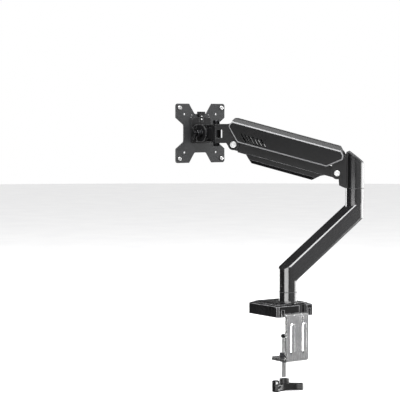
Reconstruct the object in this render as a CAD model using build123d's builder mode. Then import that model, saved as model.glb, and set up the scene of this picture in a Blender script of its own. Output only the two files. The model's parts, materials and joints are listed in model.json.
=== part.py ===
from build123d import *
import os
from math import atan2, cos, degrees, radians, sin

# Desk-clamp monitor arm with a gas-spring parallelogram.
# Millimetres. Origin: on the swivel axis of the base post, on the desk top under the base.
# +X along the desk's rear edge, +Y from that edge towards the user, +Z up.
# The row is at rest with the lower arm along +X and the upper arm turned back over the desk.

# ---------------------------------------------------------------- driving dimensions
PLAY = 0.06              # radial clearance of every running fit
SHEET = 3.0              # thickness of the bent brackets

# base and clamp
BASE_HALF_X = 42.0
BASE_REAR = -23.5
BASE_FRONT = 68.5
BASE_WALL_TOP = 20.5
BASE_RIM_TOP = 22.5
BASE_TOP = 25.5
COVER_WALL = 3.0
CORNER_CUT = 3.6
PAD_T = 1.5
CLAMP_T = 5.0            # thickness of the clamp's bent steel
CLAMP_HALF_X = 25.5
CLAMP_REAR = -29.5
CLAMP_FOOT = -83.0       # underside of the clamp's foot
CLAMP_FOOT_FRONT = 26.0
BEAD_X = (-12.0, 15.5)
SCREW_Y = 10.8           # axis of the clamp screw
SCREW_R = 5.0
TIP_TOP = -36.0
KNOB_BOTTOM = -140.0
KNOB_TOP = -128.0
KNOB_REACH = 34.0
KNOB_ANGLES = (-37.0, 83.0, 203.0)
CABLE_NOTCH = (8.5, 26.5)

# post and lower arm
TUBE_R = 17.5
SPINDLE_R = 11.0
BUSH_R = 14.0
LOWER_SEAM = 44.0
WASHER_T = 0.8
ARM_REACH = 160.0        # horizontal distance between the two swivel axes
BAR_RISE = 0.69          # rise of the sloping bar per millimetre along X
BAR_MID = 78.9           # height of the bar's centre line over the base post
BAR_DEPTH = 33.4
BAR_EDGE = 6.0
UPPER_SEAM = 232.8
ELBOW_SPINDLE_R = 8.0
ELBOW_BUSH_R = 9.6
CHANNEL_HALF = 8.0
CHANNEL_DEPTH = 11.0

# upper arm
HEADING = 135.0          # direction of the upper arm in plan, from +X
ELEVATION = 15.0         # slope of the upper arm at rest
PIVOT_T = 31.2           # elbow axis to the rear pivots
PIVOT_Z = 296.0          # upper rear pivot
PIVOT_DROP = 34.0        # upper to lower pivot, the same at both ends
LINK = 207.0             # pivot to pivot along each link
PIN_R = 4.0
LINK_HALF = 19.0         # half width of both link channels
LINK_WALL = 2.5
CHEEK_IN = 20.0
CHEEK_OUT = 23.0
HEAD_T = 2.4             # thickness of the pivot bolts' heads
COVER_IN = 26.0
COVER_OUT = 28.4
RIB_PITCH = 7.3
RIB_SLANT = 70.0
RIB_COUNT = 28

# gas spring
SPRING_PIN = (165.0, -6.0)
CYLINDER_R = 10.0
CYLINDER_LEN = 100.0
ROD_R = 5.0
TENSION_T = 19.0
TENSION_R = 3.0

# head
PAN_OFFSET = 37.0        # front pivots to the pan axis
HEAD_Z = 337.0           # centre of the screen plate
BRACKET_TOP = 355.4
BRACKET_BOTTOM = 318.7
FLANGE_T = 4.0
PLATE_FORWARD = 57.0     # pan axis to the screen plate's front face
TILT_BACK = 24.0         # front face back to the tilt axis
PLATE_T = 2.5
PLATE_HALF = 58.0

# ---------------------------------------------------------------- derived places
UX = cos(radians(HEADING))
UY = sin(radians(HEADING))
ARM_NORMAL = (UY, -UX, 0)
LINK_DIR = (UX * cos(radians(ELEVATION)), UY * cos(radians(ELEVATION)), sin(radians(ELEVATION)))


def arm_point(t, z):
    """A point on the upper arm's middle plane, t millimetres out from the elbow axis."""
    return (ARM_REACH + UX * t, UY * t, z)


FRONT_T = PIVOT_T + LINK * cos(radians(ELEVATION))
FRONT_Z = PIVOT_Z + LINK * sin(radians(ELEVATION))
PAN_X, PAN_Y, _ = arm_point(FRONT_T + PAN_OFFSET, 0)
PLATE_Y = PAN_Y + PLATE_FORWARD
TILT_Y = PLATE_Y - TILT_BACK

# upright planes: local x runs out along the upper arm, local y is up or square to the link
ELBOW_SIDE = Plane(origin=arm_point(0, 0), x_dir=(UX, UY, 0), z_dir=ARM_NORMAL)
UPPER_LINE = Plane(origin=arm_point(PIVOT_T, PIVOT_Z), x_dir=LINK_DIR, z_dir=ARM_NORMAL)
LOWER_LINE = Plane(origin=arm_point(PIVOT_T, PIVOT_Z - PIVOT_DROP), x_dir=LINK_DIR, z_dir=ARM_NORMAL)
HEAD_SIDE = Plane(origin=(PAN_X, 0, 0), x_dir=(0, 1, 0), z_dir=(1, 0, 0))
PLATE_FACE = Plane(origin=(PAN_X, PLATE_Y, HEAD_Z), x_dir=(-1, 0, 0), z_dir=(0, 1, 0))

pieces = {}


def keep(name, builder):
    builder.part.label = name
    pieces[name] = builder


# ---------------------------------------------------------------- repeated forms
def rod(plane, radius, length, bore=0.0, edge=0.0):
    """A round bar or ring on a plane, with an optional bore and edge chamfer."""
    with BuildPart() as form:
        with BuildSketch(plane):
            Circle(radius)
            if bore:
                Circle(bore, mode=Mode.SUBTRACT)
        extrude(amount=length)
        if edge:
            rim = form.edges().filter_by(GeomType.CIRCLE).group_by(SortBy.RADIUS)[-1]
            chamfer(rim, length=edge)
    return form


def hex_nut(plane, across_flats, height, bore):
    """A hexagon nut with chamfered corners."""
    corner = across_flats / 2 / cos(radians(30))
    with BuildPart() as form:
        with BuildSketch(plane):
            RegularPolygon(corner, 6)
        extrude(amount=height)
        with BuildSketch(plane):
            Circle(corner * 0.97)
        extrude(amount=height, mode=Mode.INTERSECT)
        with BuildSketch(plane):
            Circle(bore)
        extrude(amount=height, mode=Mode.SUBTRACT)
    return form


def screw(plane, head_r, head_h, shank_r, shank_len, socket_r, neck=0.0):
    """A button-head screw, its head above the plane and its shank below, from a thicker neck if stated."""
    with BuildPart() as form:
        with BuildSketch(plane):
            Circle(head_r)
        extrude(amount=head_h)
        crown = form.faces().sort_by(Axis(plane.origin, plane.z_dir))[-1]
        fillet(crown.edges(), radius=head_h * 0.45)
        with BuildSketch(plane.offset(head_h * 0.35)):
            RegularPolygon(socket_r, 6)
        extrude(amount=head_h, mode=Mode.SUBTRACT)
        with BuildSketch(plane):
            Circle(shank_r)
        extrude(amount=-shank_len)
        if neck:
            with BuildSketch(plane):
                Circle(shank_r + 0.4)
            extrude(amount=-neck)
    return form


def spot_on(plane, x, y, depth=0.0):
    """The same plane moved to a local point."""
    return Plane(origin=plane.from_local_coords((x, y, depth)), x_dir=plane.x_dir, z_dir=plane.z_dir)


def sides(plane, inner, outer):
    """Where to draw the two sheets that stand between inner and outer on either side."""
    return plane.offset(inner), plane.offset(-outer)


def cross_bolt(plane, x, y, radius, half, head_r, head_t):
    """A bolt lying square across a side plane with a rounded head at each end."""
    with BuildPart() as form:
        with BuildSketch(spot_on(plane, x, y, -half)):
            Circle(radius)
        extrude(amount=2 * half)
        for side in (-1, 1):
            end = spot_on(plane, x, y, side * half)
            with BuildSketch(end):
                Circle(head_r)
            extrude(amount=side * head_t)
        across = Axis(plane.origin, plane.z_dir)
        caps = form.faces().filter_by(across).sort_by(across)
        fillet(caps[0].edges() + caps[-1].edges(), radius=head_t * 0.3)
        for side in (-1, 1):
            end = spot_on(plane, x, y, side * (half + head_t - 1.2))
            with BuildSketch(end):
                RegularPolygon(head_r * 0.36, 6)
            extrude(amount=side * 1.3, mode=Mode.SUBTRACT)
    return form


def cross_bushes(plane, places, bore, radius, inner, outer):
    """Bearing rings set in both walls of a channel."""
    with BuildPart() as form:
        for side in sides(plane, inner, outer):
            with BuildSketch(side):
                with Locations(*places):
                    Circle(radius)
                    Circle(bore, mode=Mode.SUBTRACT)
            extrude(amount=outer - inner)
    return form


def group(*builders):
    """Several separate solids kept together as one node."""
    with BuildPart() as form:
        for builder in builders:
            add(builder.part)
    return form


# ---------------------------------------------------------------- base
BASE_MID_Y = (BASE_FRONT + BASE_REAR) / 2
BASE_LEN = BASE_FRONT - BASE_REAR


def base_outline(inset, cut):
    """The base's rectangle with its corners cut off, drawn inside the open sketch."""
    x = BASE_HALF_X - inset
    y = BASE_LEN / 2 - inset
    with Locations((0, BASE_MID_Y)):
        Polygon(
            (x, y - cut), (x - cut, y), (cut - x, y), (-x, y - cut),
            (-x, cut - y), (cut - x, -y), (x - cut, -y), (x, cut - y), align=None,
        )


def make_base_pad():
    with BuildPart() as base_pad:
        with BuildSketch():
            base_outline(3.5, 3)
        extrude(amount=PAD_T)
    keep("base_pad", base_pad)


def make_base_cover():
    with BuildPart() as base_cover:
        with BuildSketch(Plane.XY.offset(0.6)):
            base_outline(0, CORNER_CUT)
        extrude(amount=BASE_WALL_TOP - 0.6)
        for low, high, inset_low, inset_high in (
            (BASE_WALL_TOP, BASE_WALL_TOP + 0.8, 0.0, 1.2),
            (BASE_WALL_TOP + 0.8, BASE_RIM_TOP, 1.2, 5.0),
            (BASE_RIM_TOP, BASE_RIM_TOP + 1.4, 6.0, 7.6),
            (BASE_RIM_TOP + 1.4, BASE_TOP, 7.6, 13.0),
        ):
            with BuildSketch(Plane.XY.offset(low)):
                base_outline(inset_low, CORNER_CUT - inset_low / 5)
            with BuildSketch(Plane.XY.offset(high)):
                base_outline(inset_high, CORNER_CUT - inset_high / 5)
            loft()
        with BuildSketch():
            base_outline(COVER_WALL, 1.5)
        extrude(amount=17.0, mode=Mode.SUBTRACT)
        with BuildSketch():
            Circle(TUBE_R + 0.5)
        extrude(amount=BASE_TOP + 1, mode=Mode.SUBTRACT)
        # the clamp's neck passes under the rear wall
        with BuildSketch():
            with Locations((0, BASE_REAR)):
                Rectangle(2 * CLAMP_HALF_X + 1, 8)
        extrude(amount=PAD_T + CLAMP_T + 0.4, mode=Mode.SUBTRACT)
        # cable notch in the rear edge
        with BuildSketch():
            with Locations(((CABLE_NOTCH[0] + CABLE_NOTCH[1]) / 2, BASE_REAR)):
                Rectangle(CABLE_NOTCH[1] - CABLE_NOTCH[0], 16.4)
        extrude(amount=BASE_TOP + 1, mode=Mode.SUBTRACT)
        # recesses that give a key room to reach the two rear bolts
        with BuildSketch():
            with Locations((-29.5, BASE_REAR), (32.0, BASE_REAR)):
                Rectangle(6.0, 8.0)
        extrude(amount=14.0, mode=Mode.SUBTRACT)
    keep("base_cover", base_cover)


def make_clamp_bracket():
    top = PAD_T + CLAMP_T
    with BuildPart() as clamp_bracket:
        # side profile of the bent plate
        with BuildSketch(Plane.YZ):
            with BuildLine():
                Polyline(
                    (40.0, PAD_T),
                    (CLAMP_REAR + CLAMP_T, PAD_T),
                    (CLAMP_REAR + CLAMP_T, CLAMP_FOOT + CLAMP_T),
                    (CLAMP_FOOT_FRONT, CLAMP_FOOT + CLAMP_T),
                    (CLAMP_FOOT_FRONT, CLAMP_FOOT),
                    (CLAMP_REAR, CLAMP_FOOT),
                    (CLAMP_REAR, top),
                    (40.0, top),
                    close=True,
                )
            make_face()
        extrude(amount=CLAMP_HALF_X, both=True)
        bends = clamp_bracket.edges().filter_by(Axis.X)
        outer = bends.sort_by(Axis.Y)[:2]
        fillet(outer, radius=6.5)
        inner = clamp_bracket.edges().filter_by(Axis.X).filter_by_position(
            Axis.Y, CLAMP_REAR + CLAMP_T - 0.1, CLAMP_REAR + CLAMP_T + 0.1
        )
        fillet(inner, radius=1.8)
        toe = clamp_bracket.edges().filter_by(Axis.Z).filter_by_position(
            Axis.Y, CLAMP_FOOT_FRONT - 0.1, CLAMP_FOOT_FRONT + 0.1
        )
        fillet(toe, radius=12.0)
        # the wide top plate under the cover
        with BuildSketch(Plane.XY.offset(PAD_T)):
            base_outline(COVER_WALL + 0.5, 3)
        extrude(amount=CLAMP_T)
        # two pressed beads down the back, hollow on the inside
        bead_mid = -40.0
        bead_len = 48.0
        for side in BEAD_X:
            with BuildSketch(Plane.XZ.offset(-CLAMP_REAR)):
                with Locations((side, bead_mid)):
                    SlotCenterToCenter(bead_len, 10.0, rotation=90)
            extrude(amount=2.2, taper=32)
            with BuildSketch(Plane.XZ.offset(-CLAMP_REAR - CLAMP_T)):
                with Locations((side, bead_mid)):
                    SlotCenterToCenter(bead_len - 2, 5.0, rotation=90)
            extrude(amount=2.6, mode=Mode.SUBTRACT)
        # relief slots across the upper bend
        with BuildSketch(Plane.XZ.offset(-CLAMP_REAR)):
            with Locations((11.6, 0.5)):
                Rectangle(3.4, 20.0)
            with Locations((-7.0, 5.5)):
                Rectangle(1.6, 5.0, rotation=-30)
        extrude(amount=-CLAMP_T, mode=Mode.SUBTRACT)
        # clamp screw and spindle bolt holes
        with BuildSketch(Plane.XY.offset(CLAMP_FOOT)):
            with Locations((0, SCREW_Y)):
                Circle(SCREW_R + 0.6)
        extrude(amount=CLAMP_T, mode=Mode.SUBTRACT)
        with BuildSketch(Plane.XY.offset(PAD_T)):
            Circle(8.0)
        with BuildSketch(Plane.XY.offset(PAD_T + CLAMP_T)):
            Circle(4.1)
        loft(mode=Mode.SUBTRACT)
    keep("clamp_bracket", clamp_bracket)


def make_base_fasteners():
    with BuildPart() as spindle_bolt:
        with BuildSketch(Plane.XY.offset(PAD_T)):
            Circle(7.95)
        with BuildSketch(Plane.XY.offset(PAD_T + CLAMP_T)):
            Circle(4.05)
        loft()
        with BuildSketch(Plane.XY.offset(PAD_T + CLAMP_T)):
            Circle(4.05)
        extrude(amount=24.0)
        with BuildSketch(Plane.XY.offset(PAD_T)):
            RegularPolygon(3.4, 6)
        extrude(amount=3.0, mode=Mode.SUBTRACT)
    keep("spindle_bolt", spindle_bolt)

    nut_plane = Plane(origin=(0, SCREW_Y, CLAMP_FOOT + CLAMP_T), z_dir=(0, 0, 1))
    keep("foot_nut", hex_nut(nut_plane, 17.0, 7.0, SCREW_R + PLAY))

    rear_bolts = []
    for x in (-29.5, 32.0):
        spot = Plane(origin=(x, BASE_REAR + 3.2, 10.4), x_dir=(1, 0, 0), z_dir=(0, -1, 0))
        rear_bolts.append(screw(spot, 2.6, 2.0, 1.6, 5.0, 1.2))
    keep("rear_bolts", group(*rear_bolts))

    # upright lug blocks that take the rear bolts, standing on the steel plate
    with BuildPart() as bolt_lugs:
        for x in (-29.5, 32.0):
            with BuildSketch(Plane.XY.offset(PAD_T + CLAMP_T)):
                with Locations((x, BASE_REAR + 6.4)):
                    Rectangle(6.0, 6.0)
            extrude(amount=9.0)
        for x in (-29.5, 32.0):
            with BuildSketch(Plane(origin=(x, BASE_REAR, 10.4), x_dir=(1, 0, 0), z_dir=(0, 1, 0))):
                Circle(1.62)
            extrude(amount=8.3, mode=Mode.SUBTRACT)
    keep("bolt_lugs", bolt_lugs)


def make_cable_clip():
    left = CABLE_NOTCH[0] + 0.3
    right = CABLE_NOTCH[1] - 0.3
    mid = (left + right) / 2
    with BuildPart() as cable_clip:
        with BuildSketch(Plane.XY.offset(PAD_T + CLAMP_T + 0.6)):
            with Locations((mid, BASE_REAR + 3.9)):
                RectangleRounded(right - left, 7.6, 1.2)
            with Locations((mid, BASE_REAR + 3.6)):
                Circle(3.0, mode=Mode.SUBTRACT)
            with Locations((mid, BASE_REAR)):
                Rectangle(4.6, 6.0, mode=Mode.SUBTRACT)
        extrude(amount=14.0)
    keep("cable_clip", cable_clip)


def make_post():
    spindle_foot = PAD_T + CLAMP_T
    with BuildPart() as post_spindle:
        with BuildSketch(Plane.XY.offset(spindle_foot)):
            Circle(SPINDLE_R)
            Circle(4.1, mode=Mode.SUBTRACT)
        extrude(amount=76.0 - spindle_foot)
    keep("post_spindle", post_spindle)

    with BuildPart() as post_collar:
        with BuildSketch(Plane.XY.offset(spindle_foot)):
            Circle(TUBE_R)
        extrude(amount=LOWER_SEAM - spindle_foot)
        with BuildSketch(Plane.XY.offset(BASE_TOP)):
            Circle(21.0)
        with BuildSketch(Plane.XY.offset(BASE_TOP + 2.2)):
            Circle(TUBE_R + 0.1)
        loft()
        with BuildSketch(Plane.XY.offset(spindle_foot)):
            Circle(SPINDLE_R + 0.02)
        extrude(amount=LOWER_SEAM, mode=Mode.SUBTRACT)
    keep("post_collar", post_collar)
    keep("lower_swivel_washer",
         rod(Plane.XY.offset(LOWER_SEAM), TUBE_R - 0.4, WASHER_T, bore=SPINDLE_R + 0.1))


# ---------------------------------------------------------------- clamp screw
def lobe_point(angle, out, across):
    """A point out along a knob lobe and across it."""
    a = radians(angle)
    return (out * cos(a) - across * sin(a), out * sin(a) + across * cos(a))


def make_clamp_screw():
    with BuildPart() as pressure_tip:
        with BuildSketch(Plane(origin=(0, SCREW_Y, 0), x_dir=(1, 0, 0), z_dir=(0, -1, 0))):
            with BuildLine():
                Line((0, TIP_TOP), (4.2, TIP_TOP))
                RadiusArc((4.2, TIP_TOP), (6.4, TIP_TOP - 2.6), 3.2)
                Line((6.4, TIP_TOP - 2.6), (6.4, TIP_TOP - 6.4))
                Line((6.4, TIP_TOP - 6.4), (0, TIP_TOP - 6.4))
                Line((0, TIP_TOP - 6.4), (0, TIP_TOP))
            make_face()
        revolve(axis=Axis((0, SCREW_Y, 0), (0, 0, 1)))
        with BuildSketch(Plane(origin=(0, SCREW_Y, TIP_TOP - 6.4))):
            Circle(3.0 + PLAY)
        extrude(amount=4.2, mode=Mode.SUBTRACT)
    keep("pressure_tip", pressure_tip)

    shaft_top = TIP_TOP - 6.8
    with BuildPart() as clamp_screw:
        with BuildSketch(Plane(origin=(0, SCREW_Y, KNOB_BOTTOM + 2))):
            Circle(SCREW_R)
        extrude(amount=shaft_top - KNOB_BOTTOM - 2)
        with BuildSketch(Plane(origin=(0, SCREW_Y, shaft_top))):
            Circle(3.0)
        extrude(amount=4.2)
        # rolled thread drawn as closed grooves
        groove_pitch = 2.0
        groove_count = int((shaft_top - KNOB_TOP - 12) / groove_pitch)
        with BuildSketch(Plane(origin=(0, SCREW_Y, 0), x_dir=(1, 0, 0), z_dir=(0, -1, 0))):
            for index in range(groove_count):
                z = shaft_top - 3 - index * groove_pitch
                with BuildLine():
                    crest = SCREW_R + 0.3
                    Polyline((crest, z + 0.8), (SCREW_R - 0.6, z), (crest, z - 0.8), close=True)
                make_face()
        revolve(axis=Axis((0, SCREW_Y, 0), (0, 0, 1)), mode=Mode.SUBTRACT)
    keep("clamp_screw", clamp_screw)

    tip_half = 6.2
    waist = 11.5
    with BuildPart() as clamp_knob:
        with BuildSketch(Plane(origin=(0, SCREW_Y, KNOB_BOTTOM))):
            with BuildLine():
                for index, angle in enumerate(KNOB_ANGLES):
                    following = KNOB_ANGLES[(index + 1) % 3]
                    start = lobe_point(angle, KNOB_REACH, -tip_half)
                    end = lobe_point(angle, KNOB_REACH, tip_half)
                    valley = lobe_point(angle + 60, waist, 0)
                    ThreePointArc(start, lobe_point(angle, KNOB_REACH + 2, 0), end)
                    ThreePointArc(end, valley, lobe_point(following, KNOB_REACH, -tip_half))
            make_face()
        extrude(amount=KNOB_TOP - KNOB_BOTTOM)
        rims = clamp_knob.faces().filter_by(Axis.Z).edges()
        fillet(rims, radius=1.6)
        with BuildSketch(Plane(origin=(0, SCREW_Y, KNOB_TOP))):
            Circle(9.3)
            with PolarLocations(9.5, 12):
                Circle(0.9, mode=Mode.SUBTRACT)
        extrude(amount=8.0)
        with BuildSketch(Plane(origin=(0, SCREW_Y, KNOB_BOTTOM + 2))):
            Circle(SCREW_R + 0.02)
        extrude(amount=30.0, mode=Mode.SUBTRACT)
    keep("clamp_knob", clamp_knob)


# ---------------------------------------------------------------- lower arm
BAR_ANGLE = degrees(atan2(BAR_RISE, 1.0))
BAR_DIR = (cos(radians(BAR_ANGLE)), 0, sin(radians(BAR_ANGLE)))
BAR_CENTRE = (ARM_REACH / 2, 0, BAR_MID + BAR_RISE * ARM_REACH / 2)
BAR_PLANE = Plane(origin=BAR_CENTRE, x_dir=(0, 1, 0), z_dir=BAR_DIR)
BAR_MIDDLE = Plane(origin=BAR_CENTRE, x_dir=BAR_DIR, z_dir=(-BAR_DIR[2], 0, BAR_DIR[0]))


def make_lower_arm():
    with BuildPart() as lower_sleeve:
        with BuildSketch(Plane.XY.offset(LOWER_SEAM + WASHER_T)):
            Circle(TUBE_R)
        extrude(amount=70)
        split(bisect_by=BAR_MIDDLE, keep=Keep.BOTTOM)
    with BuildPart() as upper_sleeve:
        with BuildSketch(Plane(origin=(ARM_REACH, 0, UPPER_SEAM), z_dir=(0, 0, -1))):
            Circle(TUBE_R)
        extrude(amount=70)
        split(bisect_by=BAR_MIDDLE, keep=Keep.TOP)
    with BuildPart() as lower_arm:
        with BuildSketch(BAR_PLANE):
            RectangleRounded(2 * TUBE_R, BAR_DEPTH, BAR_EDGE)
        extrude(amount=150, both=True)
        with BuildSketch():
            with Locations((ARM_REACH / 2, 0)):
                SlotCenterToCenter(ARM_REACH, 2 * TUBE_R)
        extrude(amount=300, mode=Mode.INTERSECT)
        add(lower_sleeve.part)
        add(upper_sleeve.part)
        # bores for the swivel bush and the elbow spindle
        with BuildSketch(Plane.XY.offset(LOWER_SEAM)):
            Circle(BUSH_R + 0.02)
        extrude(amount=39.5, mode=Mode.SUBTRACT)
        with BuildSketch(Plane(origin=(ARM_REACH, 0, UPPER_SEAM), z_dir=(0, 0, -1))):
            Circle(ELBOW_SPINDLE_R + 0.02)
        extrude(amount=40.0, mode=Mode.SUBTRACT)
        # cable channel along the underside of the sloping bar
        with BuildSketch(BAR_MIDDLE.offset(-BAR_DEPTH / 2)):
            SlotCenterToCenter(118.0, 2 * CHANNEL_HALF)
        extrude(amount=CHANNEL_DEPTH, mode=Mode.SUBTRACT)
        # grub screw hole behind the sleeve
        with BuildSketch(Plane(origin=(-TUBE_R - 1, 0, 57.0), z_dir=(1, 0, 0))):
            Circle(3.0)
        extrude(amount=8.0, mode=Mode.SUBTRACT)
    keep("lower_arm", lower_arm)

    with BuildPart() as lower_cable_cover:
        with BuildSketch(BAR_MIDDLE.offset(-BAR_DEPTH / 2)):
            RectangleRounded(92.0, 2 * CHANNEL_HALF - 0.6, 3.0)
        extrude(amount=2.0)
        with BuildSketch(BAR_MIDDLE.offset(-BAR_DEPTH / 2 + 2.0)):
            with GridLocations(60.0, 2 * CHANNEL_HALF - 2.4, 2, 2):
                Rectangle(10.0, 1.6)
        extrude(amount=5.0)
    keep("lower_cable_cover", lower_cable_cover)

    bush_foot = LOWER_SEAM + WASHER_T + 0.2
    keep("lower_bush", rod(Plane.XY.offset(bush_foot), BUSH_R, 31.0, bore=SPINDLE_R + PLAY))
    keep("set_screw", rod(Plane(origin=(-TUBE_R + 0.9, 0, 57.0), z_dir=(1, 0, 0)), 2.95, 2.5, bore=1.3))
    with BuildPart() as lower_retainer:
        with BuildSketch(Plane.XY.offset(76.3)):
            Circle(BUSH_R - 0.4)
        extrude(amount=1.6)
        with BuildSketch(Plane.XY.offset(77.9)):
            Circle(5.0)
            RegularPolygon(2.2, 6, mode=Mode.SUBTRACT)
        extrude(amount=3.6)
    keep("lower_retainer", lower_retainer)

    spindle_foot = UPPER_SEAM - 39.5
    with BuildPart() as elbow_spindle:
        with BuildSketch(Plane(origin=(ARM_REACH, 0, spindle_foot))):
            Circle(ELBOW_SPINDLE_R)
        extrude(amount=268.0 - spindle_foot)
    keep("elbow_spindle", elbow_spindle)
    keep("upper_swivel_washer",
         rod(Plane(origin=(ARM_REACH, 0, UPPER_SEAM)), TUBE_R - 0.4, WASHER_T, bore=ELBOW_SPINDLE_R + 0.1))


# ---------------------------------------------------------------- elbow
WEB_T = 11.0             # the bracket's web stands on a flat this far from the elbow axis
ROOF_SLOPE = 38.0
ROOF_FRONT = 304.5


def roof_plane(drop):
    """The elbow's sloping roof, lowered by drop, facing up and back."""
    lean = radians(ROOF_SLOPE)
    normal = (-UX * sin(lean), -UY * sin(lean), cos(lean))
    return Plane(origin=arm_point(WEB_T, ROOF_FRONT - drop), x_dir=ARM_NORMAL, z_dir=normal)


def make_elbow():
    foot = UPPER_SEAM + WASHER_T + 0.1
    with BuildPart() as elbow_knuckle:
        with BuildSketch(Plane(origin=(ARM_REACH, 0, foot))):
            Circle(TUBE_R)
        extrude(amount=90)
        split(bisect_by=roof_plane(2.0), keep=Keep.BOTTOM)
        split(bisect_by=Plane(origin=arm_point(WEB_T, 0), z_dir=(UX, UY, 0)), keep=Keep.BOTTOM)
        with BuildSketch(Plane(origin=(ARM_REACH, 0, foot))):
            Circle(ELBOW_BUSH_R + 0.02)
        extrude(amount=269.5 - foot, mode=Mode.SUBTRACT)
    keep("elbow_knuckle", elbow_knuckle)

    with BuildPart() as elbow_cap:
        with BuildSketch(Plane(origin=(ARM_REACH, 0, foot))):
            Circle(TUBE_R - 0.6)
        extrude(amount=90)
        split(bisect_by=roof_plane(0), keep=Keep.BOTTOM)
        split(bisect_by=roof_plane(2.0), keep=Keep.TOP)
        split(bisect_by=Plane(origin=arm_point(WEB_T, 0), z_dir=(UX, UY, 0)), keep=Keep.BOTTOM)
    keep("elbow_cap", elbow_cap)
    keep("elbow_bush",
         rod(Plane(origin=(ARM_REACH, 0, foot)), ELBOW_BUSH_R, 34.0, bore=ELBOW_SPINDLE_R + PLAY))

    lower_z = PIVOT_Z - PIVOT_DROP
    with BuildPart() as elbow_bracket:
        for side in sides(ELBOW_SIDE, CHEEK_IN, CHEEK_OUT):
            with BuildSketch(side):
                with BuildLine():
                    Polyline(
                        (WEB_T, 234.4), (17.5, 234.4), (27.5, 239.0), (28.6, 251.5), (38.7, 253.4),
                        (42.6, 263.5), (40.0, 294.0), (26.0, 289.0), (18.0, 291.0),
                        (WEB_T + SHEET, 301.0), (WEB_T, 303.0), close=True,
                    )
                make_face()
                with Locations((PIVOT_T, lower_z)):
                    Circle(11.5)
                with Locations((PIVOT_T, PIVOT_Z)):
                    Circle(9.0)
                with Locations((PIVOT_T, lower_z), (PIVOT_T, PIVOT_Z)):
                    Circle(PIN_R + 0.02, mode=Mode.SUBTRACT)
            extrude(amount=CHEEK_OUT - CHEEK_IN)
        with BuildSketch(ELBOW_SIDE.offset(-CHEEK_OUT)):
            with Locations((WEB_T + SHEET / 2, 268.7)):
                Rectangle(SHEET, 68.6)
        extrude(amount=2 * CHEEK_OUT)
        corners = elbow_bracket.edges().filter_by(Axis.Z).group_by(Axis((0, 0, 0), (-UX, -UY, 0)))[-1]
        fillet(corners, radius=2.8)
        for z in (246.0, 292.0):
            for side in (-10.0, 10.0):
                with BuildSketch(Plane(origin=ELBOW_SIDE.from_local_coords((WEB_T, z, side)),
                                       z_dir=(UX, UY, 0))):
                    Circle(2.5)
                extrude(amount=SHEET, mode=Mode.SUBTRACT)
    keep("elbow_bracket", elbow_bracket)

    screws = []
    for z in (246.0, 292.0):
        for side in (-10.0, 10.0):
            spot = Plane(origin=ELBOW_SIDE.from_local_coords((WEB_T + SHEET, z, side)), z_dir=(UX, UY, 0))
            screws.append(screw(spot, 4.2, 2.2, 2.48, SHEET, 1.8))
    keep("bracket_screws", group(*screws))
    keep("elbow_upper_pin", cross_bolt(ELBOW_SIDE, PIVOT_T, PIVOT_Z, PIN_R, CHEEK_OUT, 7.0, HEAD_T))
    keep("elbow_lower_bolt", cross_bolt(ELBOW_SIDE, PIVOT_T, lower_z, PIN_R, CHEEK_OUT, 5.6, HEAD_T))

    seat_mid = (WEB_T + SHEET + 24.5) / 2
    with BuildPart() as screw_seat:
        with BuildSketch(ELBOW_SIDE.offset(-8.0)):
            with Locations((seat_mid, 251.5)):
                Rectangle(24.5 - WEB_T - SHEET, 3.0)
        extrude(amount=16.0)
        with BuildSketch(Plane(origin=arm_point(TENSION_T, 250.0))):
            Circle(TENSION_R + PLAY)
        extrude(amount=3.0, mode=Mode.SUBTRACT)
    keep("screw_seat", screw_seat)


# ---------------------------------------------------------------- gas spring and its adjuster
ANCHOR = (PIVOT_T + 1.48, PIVOT_Z - 16.93)
SPRING_EYE = (32.30, 280.46)


def make_tension():
    with BuildPart() as tension_screw:
        with BuildSketch(Plane(origin=arm_point(TENSION_T, 244.0))):
            Circle(4.8)
            RegularPolygon(2.2, 6, mode=Mode.SUBTRACT)
        extrude(amount=4.0)
        with BuildSketch(Plane(origin=arm_point(TENSION_T, 248.0))):
            Circle(4.8)
        extrude(amount=1.9)
        with BuildSketch(Plane(origin=arm_point(TENSION_T, 249.9))):
            Circle(TENSION_R)
        extrude(amount=289.0 - 249.9)
        with BuildSketch(Plane(origin=arm_point(TENSION_T, 253.1))):
            Circle(4.2)
        extrude(amount=1.6)
    keep("tension_screw", tension_screw)

    with BuildPart() as tension_block:
        with BuildSketch(ELBOW_SIDE.offset(-9.5)):
            with Locations(((15.0 + 23.8) / 2, ANCHOR[1])):
                Rectangle(8.8, 9.0)
        extrude(amount=19.0)
        for side in sides(ELBOW_SIDE, 4.5, 9.5):
            with BuildSketch(side):
                with Locations(((20.0 + ANCHOR[0]) / 2, ANCHOR[1])):
                    Rectangle(ANCHOR[0] - 20.0, 9.0)
                with Locations(ANCHOR):
                    Circle(4.5)
            extrude(amount=5.0)
        with BuildSketch(spot_on(ELBOW_SIDE, ANCHOR[0], ANCHOR[1], -10.0)):
            Circle(2.82)
        extrude(amount=20.0, mode=Mode.SUBTRACT)
        with BuildSketch(Plane(origin=arm_point(TENSION_T, 270.0))):
            Circle(TENSION_R + PLAY)
        extrude(amount=20.0, mode=Mode.SUBTRACT)
    keep("tension_block", tension_block)
    keep("anchor_pin", rod(spot_on(ELBOW_SIDE, ANCHOR[0], ANCHOR[1], -10.0), 2.8, 20.0, edge=0.4))


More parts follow.
